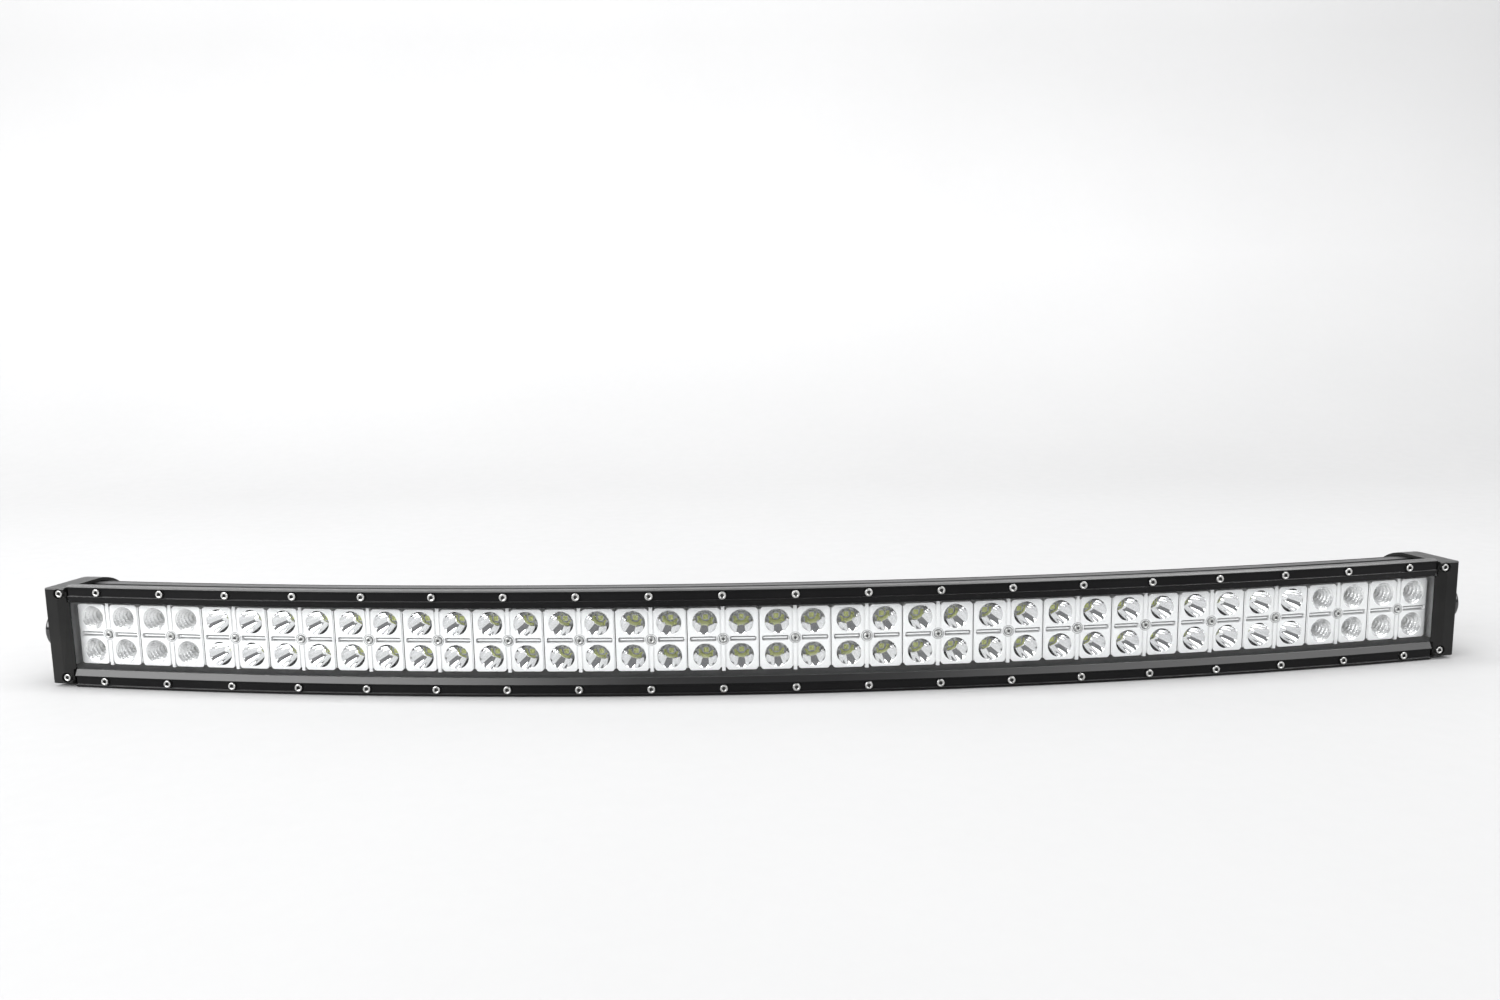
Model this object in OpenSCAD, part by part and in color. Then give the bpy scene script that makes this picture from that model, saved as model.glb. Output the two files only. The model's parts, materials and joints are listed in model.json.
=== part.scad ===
// Curved LED light bar, two rows of LEDs in four-lamp clusters, 1066 mm over the side hubs.
// Millimetres, +Z up. The lamps face -Y. The origin is at the bottom middle of the whole bar.
// Local places use three numbers: s along the front arc, d in from the front plane, z from mid height.

/* [Arc] */
// Radius of the front plane's arc
arc_radius = 2500; // [2200:50:4000]
// Number of four-lamp clusters
cluster_count = 20; // [16:4:20]
// Spacing of the clusters along the arc
cluster_pitch = 51; // [50.5:0.25:53]
// Number of flood clusters at each end, the rest are spot clusters
flood_clusters = 2; // [1:1:4]

/* [Rails] */
// Height of the bar over its two rails
bar_height = 77; // [76:0.5:80]
// Depth of a rail from its front ridges to its seat
rail_depth = 6; // [5.5:0.25:6.5]
// Depth of the screw channel in a rail
channel_depth = 1.4; // [0.8:0.1:1.6]
// Height of a rail screw above mid height
rail_screw_z = 33.4; // [33:0.1:33.8]

/* [Housing] */
// Half height of the housing over its fins
fin_half = 33.4; // [32.8:0.1:33.6]
// Half height of the housing behind its fins
core_half = 29.4; // [29:0.1:30]
// Thickness of a cooling fin
fin_t = 2.4; // [1.8:0.1:3]
// Depth at which the web that carries the LED boards starts
web_front = 28.5; // [28:0.25:29]
// Thickness of the web
web_t = 4; // [3.5:0.25:5]
// Depth of the back wall's outer face
back_wall = 60; // [59:0.5:61]

/* [End caps] */
// Half height of an end cap, and the radius of its round back
cap_half = 36.2; // [36:0.1:37]
// Length of an end cap along the arc
cap_length = 16.4; // [16:0.2:20]
// Radius of the side hub
hub_r = 16; // [14:0.5:17]
// Thickness of the side hub
hub_t = 7.2; // [7:0.1:9]
// Depth of the side bolt's axis behind the front plane
hub_d = 25; // [24:0.5:30]

/* [Lens] */
// Thickness of the clear lens
lens_t = 3; // [2.5:0.1:3]
// Half height of the lens
lens_half = 28; // [27.6:0.1:28.1]

/* [Reflectors] */
// Width of a reflector along the arc
reflector_w = 50.3; // [49.5:0.1:50.4]
// Height of a reflector
reflector_h = 45.6; // [45:0.1:47]
// Depth of the reflectors' front plane
reflector_front = 10; // [9.5:0.1:10.5]
// Distance of a cup from the cluster's centre along the arc
cup_x = 12.75; // [12.5:0.05:12.9]
// Distance of a cup from the cluster's centre in height
cup_z = 12.15; // [12:0.05:12.4]
// Mouth diameter of a cup
cup_mouth = 17.6; // [17:0.1:18.5]

/* [Fasteners] */
// Shank diameter of the small screws
screw_d = 3; // [2.8:0.1:3]
// Head diameter of the small screws
screw_head_d = 5.5; // [5:0.1:5.6]
// Shank diameter of the side bolts
bolt_d = 8; // [7:0.5:8]

/* [Hidden] */
clusters = [1 : cluster_count];
board_count = 4;
driver_sides = [-1, 1];
function number_name(stem, n) = str(stem, n < 10 ? "0" : "", n);

// how finely round shapes are drawn
arc_fn = 720;
big_fn = 96;
round_fn = 48;
small_fn = 32;
hex_fn = 6;
// how far a cutter runs past a face, a little or well clear of everything
over = 1;
clear = 30;
// room between parts that touch, and around a screw in a tapped or a free hole
gap = 0.05;
fit = 0.05;
tapped_d = screw_d + 2 * fit;
free_d = screw_d + 0.4;

// lengths along the arc
bar_half = bar_height / 2;
lamp_half_s = cluster_count * cluster_pitch / 2;
rail_half_s = lamp_half_s - 1.5;
cap_start = lamp_half_s + 1;
cap_end = cap_start + cap_length;
housing_half_s = cap_start + 10;
lens_half_s = housing_half_s - 0.5;
end_gasket_t = 1.4;
lip_start = lamp_half_s - 0.8;
bevel_length = 8;

// the rails' section, with the lens and its gasket behind them
screw_head_t = 3;
ridge_front = 0.4;
rail_bevel = 1.3;
ridge_t = 0.9;
channel_bottom = 30.4;
chamfer_top = 29.6;
chamfer_tip_z = 25.2;
chamfer_tip_d = 2.9;
lens_front = 3.5;
lens_back = lens_front + lens_t;
gasket_back = lens_back + 1.2;
// the housing's section
chamber_half = 26;
lens_seat_half = lens_half + 0.3;
flange_half = 36.6;
flange_back = 11;
driver_half = 20;
wall_t = 4;
driver_chamber_back = back_wall - wall_t;
back_seat = back_wall - 0.5;
web_back = web_front + web_t;
fin_root = 3.6;
top_fins = [[13.5, 3.6], [21, 3.6], [31, 7.5], [42.4, fin_t], [48, fin_t], [53.6, fin_t]];
back_fin_pitch = 6.4;

// lamps
pad_channel_x = 14.1;
pad_channel_l = 18.6;
pad_channel_w = 3.7;
pad_channel_t = 7.2;
pad_rib_in = 0.8;
pad_rib_w = 1.1;
pad_rib_t = 1.4;
rib_notch_x = 1.75;
rib_notch_w = 1.2;
rib_notch_h = 1.6;
cup_waist_t = 6;
flood_waist_d = 12.5;
spot_waist_d = 14.5;
cup_floor_d = 6;
reflector_head_t = 1.4;
led_board_t = 1.6;
led_board_half = 24;
led_size = 3.5;
led_t = 1.1;
board_back = web_front - gap;
board_front = board_back - led_board_t;
reflector_back = board_front - 0.3;

// end caps, side hubs and side bolts
cap_edge = 1;
cap_wall = 2.5;
cap_lip_l = 3;
cap_lip_d = 1.2;
cap_screw_s = lamp_half_s + 6;
cap_screw_z = 31.7;
cap_screw_head_t = 2;
cap_counterbore_d = 7.6;
cap_counterbore_t = 2.6;
cap_counterbore_slot_w = 3.8;
cap_front_t = rail_depth - 0.3;
cap_room_d = 12;
boss_t = 3;
boss_r = 14;
washer_t = 1.6;
bolt_blind = 0.8;
bolt_gap = 0.5;
bolt_head_d = 13;
bolt_head_t = 5;
bolt_socket_af = 6;
bolt_socket_t = 3.5;
hub_recess_d = 15;
hub_edge = 2.5;
hub_head_in = 0.2;

// gland and vent at the back
gland_s = -76.5;
vent_s = 76.5;
gland_pocket_d = 26;
vent_pocket_d = 22;
gland_thread_d = 16;
gland_hex_af = 22;
gland_hex_t = 5;
gland_collet_d = 15;
gland_collet_end = back_seat + 13;
gland_nut_af = 20;
gland_nut_d = 17;
gland_nut_end = back_seat + 18;
gland_bore_d = 10.2;
gland_mouth_d = 9;
seal_d = 10;
seal_bore_d = 6;
vent_thread_d = 12;
vent_cap_d = 17;
vent_cap_t = 4.5;
thread_in = 2;

// LED drivers
driver_s = 255;
driver_board_l = 150;
driver_board_w = 36;
driver_board_d = web_back + 5;
capacitor_l = 14;
spacer_d = 6;
spacer_foot = 1.1;
driver_screw_head_t = 2;
lead_x = 30;
lead_z = 9;
lead_d = 2.4;
lead_hole_d = 5;

function turn(s) = s / arc_radius * 180 / PI;
y_axis = (arc_radius + (arc_radius - 2 * cap_half) * cos(turn(cap_end))) / 2;
function cluster_s(i) = (i - (cluster_count + 1) / 2) * cluster_pitch;

// Puts its children at s on the arc: x runs along it, y runs in from the front plane.
module at(s) {
  translate([0, y_axis, bar_half])
    rotate([0, 0, turn(s)])
      translate([0, -arc_radius, 0])
        children();
}

// Sweeps a profile of (d, z) along the arc from s0 to s1.
module sweep(s0, s1) {
  translate([0, y_axis, bar_half])
    rotate([0, 0, turn(s0) - 90])
      rotate_extrude(angle = turn(s1) - turn(s0), $fn = arc_fn)
        translate([arc_radius, 0])
          mirror([1, 0])
            children();
}

// Extrudes a profile of (d, z) straight, from x0 to x1 along the local x.
module straight(x0, x1) {
  translate([x0, 0, 0])
    rotate([90, 0, 90])
      linear_extrude(height = x1 - x0)
        children();
}

// A rod in from depth d0 to d1.
module rod(d0, d1, diameter, sides = small_fn) {
  translate([0, d0, 0])
    rotate([-90, 0, 0])
      cylinder(h = d1 - d0, d = diameter, $fn = sides);
}

// A band of (d, z) from d0 to d1 and up to half on both sides of mid height.
module band(d0, d1, half) {
  translate([d0, -half])
    square([d1 - d0, 2 * half]);
}

// The D outline of the caps and of the housing's fins: straight in front, round at the back.
module d_outline(d0, half) {
  band(d0, cap_half, half);
  translate([cap_half, 0])
    circle(r = half, $fn = big_fn);
}

// Mirrors its children to the left or the right end.
module at_end(side, s) {
  at(side * s)
    if (side < 0) mirror([1, 0, 0]) children();
    else children();
}

// A socket head screw with its head's top at depth d0.
module socket_screw(d0, head_t, length, head_d = screw_head_d) {
  socket_af = head_d * 0.46;
  difference() {
    union() {
      rod(d0, d0 + head_t, head_d);
      rod(d0 + head_t, d0 + head_t + length, screw_d);
    }
    rod(d0 - over, d0 + head_t * 0.55, socket_af / cos(30), hex_fn);
  }
}

// ---- housing ----

// Height of the fin envelope at depth d, and its depth at height z.
function envelope_z(d) = d <= cap_half ? fin_half : sqrt(pow(fin_half, 2) - pow(d - cap_half, 2));
function envelope_d(z) = cap_half + sqrt(pow(fin_half, 2) - pow(z, 2));
function root_z(d) = min(core_half, envelope_z(d) - fin_root);
function top_fin(d, t) = [[d, root_z(d)], [d, envelope_z(d)],
                          [d + t, envelope_z(d + t)], [d + t, root_z(d + t)]];
function back_fin(z) = [[back_wall, z + fin_t / 2], [envelope_d(z + fin_t / 2), z + fin_t / 2],
                        [envelope_d(z - fin_t / 2), z - fin_t / 2], [back_wall, z - fin_t / 2]];
function flip(points) = [for (i = [len(points) - 1 : -1 : 0]) [points[i][0], -points[i][1]]];

module housing_profile() {
  top_side = concat(
    [[rail_depth, flange_half], [flange_back, flange_half], [flange_back, core_half]],
    [for (f = top_fins) each top_fin(f[0], f[1])],
    [[back_wall, root_z(back_wall)]]
  );
  back_side = [for (k = [2 : -1 : -2]) each back_fin(k * back_fin_pitch)];
  difference() {
    polygon(concat(top_side, back_side, flip(top_side)));
    band(rail_depth - over, gasket_back, lens_seat_half);
    band(gasket_back - over, web_front, chamber_half);
    band(web_back, driver_chamber_back, driver_half);
  }
}

module housing() {
  color("#2b2b2d")
  difference() {
    sweep(-housing_half_s, housing_half_s) housing_profile();
    // the flange under the rails stops short of the end caps
    for (side = [-1, 1], end = [0, 1])
      mirror([end, 0, 0])
        sweep(rail_half_s, housing_half_s + over)
          mirror([0, side < 0 ? 1 : 0])
            translate([rail_depth - over, fin_half]) square([flange_back - rail_depth + 2 * over, clear]);
    for (i = clusters) at(cluster_s(i)) {
      for (z = [-rail_screw_z, rail_screw_z])
        translate([0, 0, z]) rod(rail_depth - over, flange_back - 1, tapped_d);
      rod(web_front - over, web_back + over, tapped_d);
    }
    for (side = [-1, 1]) at(side * cap_screw_s) {
      for (z = [-cap_screw_z, cap_screw_z])
        translate([0, 0, z]) rod(rail_depth - over, flange_back + over, tapped_d);
    }
    at(gland_s) {
      rod(back_seat, back_wall + clear, gland_pocket_d, round_fn);
      rod(driver_chamber_back - over, back_wall + over, gland_thread_d + 4 * fit, round_fn);
    }
    at(vent_s) {
      rod(back_seat, back_wall + clear, vent_pocket_d, round_fn);
      rod(driver_chamber_back - over, back_wall + over, vent_thread_d + 4 * fit, round_fn);
    }
    for (side = driver_sides) at(side * driver_s) {
      driver_corners() rod(web_back - 3, web_back + over, tapped_d);
      lead_places() rod(web_front - over, web_back + over, lead_hole_d);
    }
  }
}

// ---- ends ----

module cap_screw_places() {
  for (z = [-cap_screw_z, cap_screw_z])
    translate([cap_screw_s - cap_start, 0, z]) children();
}

// A rectangle with both corners cut off at its far end in x.
module cut_corners(length, y0, y1, cut) {
  polygon([[0, y0], [length - cut, y0], [length, y0 + cut], [length, y1 - cut], [length - cut, y1], [0, y1]]);
}

// The cap's solid outside: a box in front and a drum at the back, with the outer edges chamfered.
module cap_outside() {
  drum_l = cap_length - cap_edge;
  translate([0, cap_half, 0]) rotate([0, 90, 0]) {
    cylinder(h = drum_l, r = cap_half, $fn = big_fn);
    translate([0, 0, drum_l]) cylinder(h = cap_edge, r1 = cap_half, r2 = cap_half - cap_edge, $fn = big_fn);
  }
  intersection() {
    translate([0, cap_half, 0]) rotate([90, 0, 0])
      linear_extrude(height = cap_half) cut_corners(cap_length, -cap_half, cap_half, cap_edge);
    translate([0, 0, -cap_half])
      linear_extrude(height = 2 * cap_half) cut_corners(cap_length, 0, 2 * cap_half, cap_edge);
    straight(0, cap_length)
      polygon([[0, cap_edge - cap_half], [cap_edge, -cap_half], [cap_half, -cap_half],
               [cap_half, cap_half], [cap_edge, cap_half], [0, cap_half - cap_edge]]);
  }
}

// One end cap, with x = 0 at its inner edge.
module end_cap_shape() {
  lip_x = lip_start - cap_start;
  room_x = housing_half_s - cap_start + end_gasket_t;
  difference() {
    union() {
      cap_outside();
      translate([lip_x, cap_lip_d, -chamfer_tip_z])
        cube([cap_lip_l, lens_front - 0.1 - cap_lip_d, 2 * chamfer_tip_z]);
      translate([cap_length - over, hub_d, 0])
        rotate([0, 90, 0]) cylinder(h = boss_t + over, r = boss_r, $fn = big_fn);
    }
    // room for the housing's end and its gasket
    straight(-over, room_x) d_outline(cap_front_t, cap_half - cap_wall);
    // room for the lens
    straight(-over, room_x) band(lens_front - 0.1, cap_room_d, lens_seat_half);
    // slanted face between the screws
    translate([0, 0, -chamfer_top])
      linear_extrude(height = 2 * chamfer_top)
        polygon([[lip_x - over, -over], [lip_x + bevel_length, -over], [lip_x + bevel_length, 0],
                 [lip_x, chamfer_tip_d - 0.3], [lip_x - over, chamfer_tip_d - 0.3]]);
    // counterbores, open towards the rails
    cap_screw_places() {
      rod(-over, cap_counterbore_t, cap_counterbore_d);
      translate([-cap_screw_s, -over, -cap_counterbore_slot_w / 2])
        cube([cap_screw_s, cap_counterbore_t + over, cap_counterbore_slot_w]);
      rod(-over, cap_front_t + over, free_d);
    }
    // blind thread of the side bolt
    translate([room_x + bolt_blind, hub_d, 0])
      rotate([0, 90, 0]) cylinder(h = clear, d = bolt_d + 2 * fit, $fn = round_fn);
  }
}

module end_gasket_shape() {
  x0 = housing_half_s - cap_start;
  straight(x0, x0 + end_gasket_t) d_outline(rail_depth, fin_half);
}

module cap_screw_shapes() {
  cap_screw_places() socket_screw(cap_counterbore_t - cap_screw_head_t, cap_screw_head_t, 8.4);
}

module end_part(side, shade) {
  color(shade) at_end(side, cap_start) children();
}

module hub_washer_shape() {
  translate([cap_length + boss_t, hub_d, 0]) rotate([0, 90, 0])
    difference() {
      cylinder(h = washer_t, r = boss_r + 1, $fn = big_fn);
      translate([0, 0, -over]) cylinder(h = washer_t + 2 * over, d = bolt_d + 1, $fn = round_fn);
    }
}

module hub_shape() {
  core_r = hub_r - hub_edge;
  translate([cap_length + boss_t + washer_t, hub_d, 0]) rotate([0, 90, 0])
    difference() {
      union() {
        cylinder(h = hub_t - hub_edge, r = hub_r, $fn = big_fn);
        cylinder(h = hub_t, r = core_r, $fn = big_fn);
        translate([0, 0, hub_t - hub_edge]) rotate_extrude($fn = big_fn)
          translate([core_r, 0]) circle(r = hub_edge, $fn = small_fn);
      }
      translate([0, 0, -over]) cylinder(h = clear, d = bolt_d + 0.4, $fn = round_fn);
      translate([0, 0, hub_t - bolt_head_t - hub_head_in])
        cylinder(h = clear, d = hub_recess_d, $fn = round_fn);
    }
}

module bolt_shape() {
  seat = cap_length + boss_t + washer_t + hub_t - bolt_head_t - hub_head_in;
  tip = housing_half_s - cap_start + end_gasket_t + bolt_blind + bolt_gap;
  translate([0, hub_d, 0]) rotate([0, 90, 0])
    difference() {
      union() {
        translate([0, 0, tip]) cylinder(h = seat - tip + over, d = bolt_d, $fn = round_fn);
        translate([0, 0, seat]) cylinder(h = bolt_head_t, d = bolt_head_d, $fn = round_fn);
      }
      translate([0, 0, seat + bolt_head_t - bolt_socket_t])
        cylinder(h = clear, d = bolt_socket_af / cos(30), $fn = hex_fn);
    }
}

// ---- front ----

module lens() {
  color("#dfe6ea")
  sweep(-lens_half_s, lens_half_s) band(lens_front, lens_back, lens_half);
}

module lens_gasket() {
  color("#3a3a3a")
  difference() {
    sweep(-lens_half_s, lens_half_s) band(lens_back + gap, gasket_back - gap, lens_half);
    sweep(4 - lens_half_s, lens_half_s - 4) band(lens_back - over, gasket_back + over, chamber_half);
  }
}

module rail_profile() {
  polygon([
    [chamfer_tip_d, chamfer_tip_z], [ridge_front, chamfer_top], [ridge_front, channel_bottom],
    [ridge_front + channel_depth, channel_bottom],
    [ridge_front + channel_depth, bar_half - rail_bevel - ridge_t],
    [ridge_front, bar_half - rail_bevel - ridge_t], [ridge_front, bar_half - rail_bevel],
    [ridge_front + rail_bevel, bar_half], [rail_depth - gap, bar_half],
    [rail_depth - gap, lens_seat_half + 0.1],
    [lens_front - gap, lens_seat_half + 0.1], [lens_front - gap, chamfer_tip_z]
  ]);
}

module rail(side) {
  color("#1b1b1c")
  difference() {
    sweep(-rail_half_s, rail_half_s) mirror([0, side < 0 ? 1 : 0]) rail_profile();
    for (i = clusters) at(cluster_s(i)) translate([0, 0, side * rail_screw_z]) {
      rod(-over, screw_head_t, screw_head_d + 0.5);
      rod(screw_head_t - 0.5, rail_depth + over, screw_d + 0.3);
    }
  }
}
module top_rail() {
  rail(1);
}

module bottom_rail() {
  rail(-1);
}

module rail_screws(side) {
  color("#c8c8c6")
  for (i = clusters) at(cluster_s(i))
    translate([0, 0, side * rail_screw_z]) socket_screw(0, screw_head_t, 6.5);
}

// ---- lamps ----

module cup_places() {
  for (x = [-cup_x, cup_x], z = [-cup_z, cup_z])
    translate([x, 0, z]) children();
}

// Flood cups are wide and shallow in section, spot cups are steep.
module reflector(i) {
  flood = i <= flood_clusters || i > cluster_count - flood_clusters;
  waist_d = flood ? flood_waist_d : spot_waist_d;
  waist = reflector_front + cup_waist_t;
  color("#f2f2f0")
  at(cluster_s(i)) difference() {
    translate([-reflector_w / 2, reflector_front, -reflector_h / 2])
      cube([reflector_w, reflector_back - reflector_front, reflector_h]);
    cup_places() rotate([-90, 0, 0]) {
      translate([0, 0, reflector_front])
        cylinder(h = waist - reflector_front, d1 = cup_mouth, d2 = waist_d, $fn = round_fn);
      translate([0, 0, waist])
        cylinder(h = reflector_back - waist, d1 = waist_d, d2 = cup_floor_d, $fn = round_fn);
    }
    rod(reflector_front - over, reflector_back + over, free_d);
    for (x = [-1, 1]) {
      // channel between the upper and the lower cup, with a low rib along its middle
      translate([x * pad_channel_x - pad_channel_l / 2, reflector_front, 0]) difference() {
        translate([0, -over, -pad_channel_w / 2]) cube([pad_channel_l, over + pad_channel_t, pad_channel_w]);
        translate([pad_rib_in, pad_rib_t, -pad_rib_w / 2])
          cube([pad_channel_l - 2 * pad_rib_in, pad_channel_t, pad_rib_w]);
      }
      // notches beside the middle rib's ends
      for (z = [-1, 1])
        translate([x * rib_notch_x - rib_notch_w / 2, reflector_front - over, z * reflector_h / 2])
          translate([0, 0, -rib_notch_h]) cube([rib_notch_w, over + pad_channel_t, 2 * rib_notch_h]);
    }
  }
}

module reflector_screws() {
  color("#b9b9b8")
  for (i = clusters) at(cluster_s(i))
    socket_screw(reflector_front - reflector_head_t, reflector_head_t, web_back - reflector_front, 5);
}

module led_board(k) {
  board_s = cluster_count / board_count * cluster_pitch;
  s0 = -lamp_half_s + (k - 1) * board_s;
  color("#e9ebe8")
  difference() {
    sweep(s0 + 0.3, s0 + board_s - 0.3) band(board_front, board_back, led_board_half);
    for (i = clusters) at(cluster_s(i)) rod(board_front - over, web_front + over, free_d);
  }
}

module leds() {
  color("#e8d24a")
  for (i = clusters) at(cluster_s(i)) cup_places()
    translate([-led_size / 2, board_front - led_t - gap, -led_size / 2]) cube([led_size, led_t, led_size]);
}

// ---- drivers ----

module driver_corners() {
  for (x = [-1, 1], z = [-1, 1])
    translate([x * (driver_board_l / 2 - 6), 0, z * (driver_board_w / 2 - 4)]) children();
}

module lead_places() {
  for (z = [-1, 1]) translate([lead_x, 0, z * lead_z]) children();
}

module driver_board(side) {
  color("#1f6b3a")
  at(side * driver_s) difference() {
    translate([-driver_board_l / 2, driver_board_d, -driver_board_w / 2])
      cube([driver_board_l, led_board_t, driver_board_w]);
    driver_corners() rod(driver_board_d - over, driver_board_d + led_board_t + over, free_d);
  }
}

module driver_parts(side) {
  top = driver_board_d + led_board_t;
  color("#35353a")
  at(side * driver_s) {
    for (x = [-45, -20]) translate([x, 0, 0]) difference() {
      rod(top, top + 9, 18, round_fn);
      rod(top - over, top + 10, 8, round_fn);
    }
    for (x = [5, 18]) translate([x, 0, -6]) rod(top, top + capacitor_l, 10, round_fn);
    for (x = [32, 46]) translate([x, top, -8]) cube([10, 4.5, 16]);
  }
}

module driver_spacers() {
  color("#c9a548")
  for (side = driver_sides) at(side * driver_s) driver_corners() difference() {
    rod(web_back + spacer_foot, driver_board_d, spacer_d);
    rod(web_back - over, driver_board_d + over, free_d);
  }
}

module driver_screws() {
  color("#b9b9b8")
  for (side = driver_sides) at(side * driver_s) driver_corners()
    mirror([0, 1, 0]) translate([0, -driver_board_d - led_board_t, 0])
      socket_screw(-driver_screw_head_t, driver_screw_head_t, 8.5);
}

module jumper_leads() {
  color("#b02a22")
  for (side = driver_sides) at(side * driver_s) lead_places()
    rod(web_front + 0.5, driver_board_d - gap, lead_d);
}

// ---- rear fittings ----

module cable_gland_body() {
  color("#242424")
  at(gland_s) difference() {
    union() {
      rod(driver_chamber_back - thread_in, back_seat, gland_thread_d, round_fn);
      rod(back_seat, back_seat + gland_hex_t, gland_hex_af / cos(30), hex_fn);
      rod(back_seat + gland_hex_t, gland_collet_end, gland_collet_d, round_fn);
    }
    rod(driver_chamber_back - thread_in - over, gland_collet_end + over, gland_bore_d, round_fn);
  }
}

module cable_gland_nut() {
  nut_start = back_seat + gland_hex_t + 0.3;
  color("#1c1c1c")
  at(gland_s) difference() {
    union() {
      rod(nut_start, gland_collet_end, gland_nut_af / cos(30), hex_fn);
      rod(gland_collet_end, gland_nut_end, gland_nut_d, round_fn);
    }
    rod(nut_start - over, gland_collet_end + 0.2, gland_collet_d + 2 * fit, round_fn);
    rod(gland_collet_end, gland_nut_end + over, gland_mouth_d, round_fn);
  }
}

module cable_gland_seal() {
  color("#111111")
  at(gland_s) difference() {
    rod(back_seat + 3, gland_collet_end, seal_d, round_fn);
    rod(back_seat + 3 - over, gland_collet_end + over, seal_bore_d, round_fn);
  }
}

module breather_vent() {
  color("#202022")
  at(vent_s) {
    rod(driver_chamber_back - thread_in, back_seat, vent_thread_d, round_fn);
    difference() {
      rod(back_seat, back_seat + vent_cap_t, vent_cap_d, round_fn);
      // six slots through the rim
      for (a = [0, 60, 120]) translate([0, back_seat + 2.6, 0]) rotate([0, a, 0])
        cube([vent_cap_d + 3, 1, 3], center = true);
    }
  }
}

housing();
end_part(-1, "#4a4a4a") end_cap_shape();  // left_end_cap
end_part(1, "#4a4a4a") end_cap_shape();  // right_end_cap
end_part(-1, "#8a8a8a") end_gasket_shape();  // left_end_gasket
end_part(1, "#8a8a8a") end_gasket_shape();  // right_end_gasket
lens();
lens_gasket();
top_rail();
bottom_rail();
rail_screws(1);  // top_rail_screws
rail_screws(-1);  // bottom_rail_screws
end_part(-1, "#c8c8c6") cap_screw_shapes();  // left_cap_screws
end_part(1, "#c8c8c6") cap_screw_shapes();  // right_cap_screws
reflector_screws();
leds();
for (i = clusters) reflector(i);
for (i = [1 : board_count]) led_board(i);
driver_board(-1);  // left_driver_board
driver_board(1);  // right_driver_board
driver_parts(-1);  // left_driver_parts
driver_parts(1);  // right_driver_parts
driver_spacers();
driver_screws();
jumper_leads();
cable_gland_body();
cable_gland_nut();
cable_gland_seal();
breather_vent();
end_part(-1, "#151515") hub_washer_shape();  // left_hub_washer
end_part(1, "#151515") hub_washer_shape();  // right_hub_washer
end_part(-1, "#101012") hub_shape();  // left_hub
end_part(1, "#101012") hub_shape();  // right_hub
end_part(-1, "#202020") bolt_shape();  // left_bolt
end_part(1, "#202020") bolt_shape();  // right_bolt
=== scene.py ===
import json
import math
import random

import bmesh
import bpy
from mathutils import Matrix, Vector
from mathutils.kdtree import KDTree


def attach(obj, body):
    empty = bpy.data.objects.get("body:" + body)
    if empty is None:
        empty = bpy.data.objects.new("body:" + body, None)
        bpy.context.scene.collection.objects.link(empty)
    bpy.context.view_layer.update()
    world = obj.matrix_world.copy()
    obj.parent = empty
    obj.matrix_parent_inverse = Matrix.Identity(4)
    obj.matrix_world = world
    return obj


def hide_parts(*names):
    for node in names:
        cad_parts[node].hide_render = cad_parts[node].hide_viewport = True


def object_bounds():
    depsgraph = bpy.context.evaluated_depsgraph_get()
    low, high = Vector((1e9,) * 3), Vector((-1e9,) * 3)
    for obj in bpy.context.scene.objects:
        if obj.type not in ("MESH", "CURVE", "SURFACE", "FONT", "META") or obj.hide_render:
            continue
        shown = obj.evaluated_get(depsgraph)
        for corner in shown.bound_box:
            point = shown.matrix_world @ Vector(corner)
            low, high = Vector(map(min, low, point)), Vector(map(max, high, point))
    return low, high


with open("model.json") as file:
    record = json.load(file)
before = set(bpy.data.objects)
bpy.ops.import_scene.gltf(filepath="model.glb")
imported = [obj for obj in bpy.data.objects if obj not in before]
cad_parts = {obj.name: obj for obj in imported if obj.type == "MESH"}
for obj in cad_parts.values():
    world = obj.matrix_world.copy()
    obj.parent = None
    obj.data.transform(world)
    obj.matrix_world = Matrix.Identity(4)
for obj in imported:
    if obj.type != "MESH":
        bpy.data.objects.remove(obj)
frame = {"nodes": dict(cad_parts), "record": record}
cad_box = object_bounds()

# ---- driving dimensions, metres ----
MM = 0.001
ARC_RADIUS = 2500 * MM
CLUSTERS = 20
PITCH = 51 * MM
FLOOD_CLUSTERS = 2
LOW, HIGH = cad_box
MID_Z = (LOW[2] + HIGH[2]) / 2
LAMP_HALF_S = CLUSTERS * PITCH / 2
RAIL_HALF_S = LAMP_HALF_S - 1.5 * MM
CAP_START = LAMP_HALF_S + 1 * MM
CAP_LENGTH, CAP_HALF = 16.4 * MM, 36.2 * MM
HOUSING_HALF_S = CAP_START + 10 * MM
CAP_SCREW_X, CAP_SCREW_Z = 5 * MM, 31.7 * MM
RAIL_SCREW_Z = 33.4 * MM
HUB_D = 25 * MM
WEB_FRONT = 28.5 * MM
BACK_SEAT = 59.5 * MM
GLAND_S, VENT_S = -76.5 * MM, 76.5 * MM
GLAND_SEAT_R, VENT_SEAT_R = 13 * MM, 11 * MM
CLEAR_OF_BACK, CLEAR_OF_TOP = 90 * MM, 45 * MM
CAP_END_TURN = (CAP_START + CAP_LENGTH) / ARC_RADIUS
AXIS_Y = (ARC_RADIUS + (ARC_RADIUS - 2 * CAP_HALF) * math.cos(CAP_END_TURN)) / 2


def turn(s):
    """Angle of arc length s about the arc's vertical axis."""
    return s / ARC_RADIUS


def on_arc(s, d, z):
    """Point at arc length s, depth d behind the front plane and height z from mid height."""
    reach = ARC_RADIUS - d
    return Vector((reach * math.sin(turn(s)), AXIS_Y - reach * math.cos(turn(s)), MID_Z + z))


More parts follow.
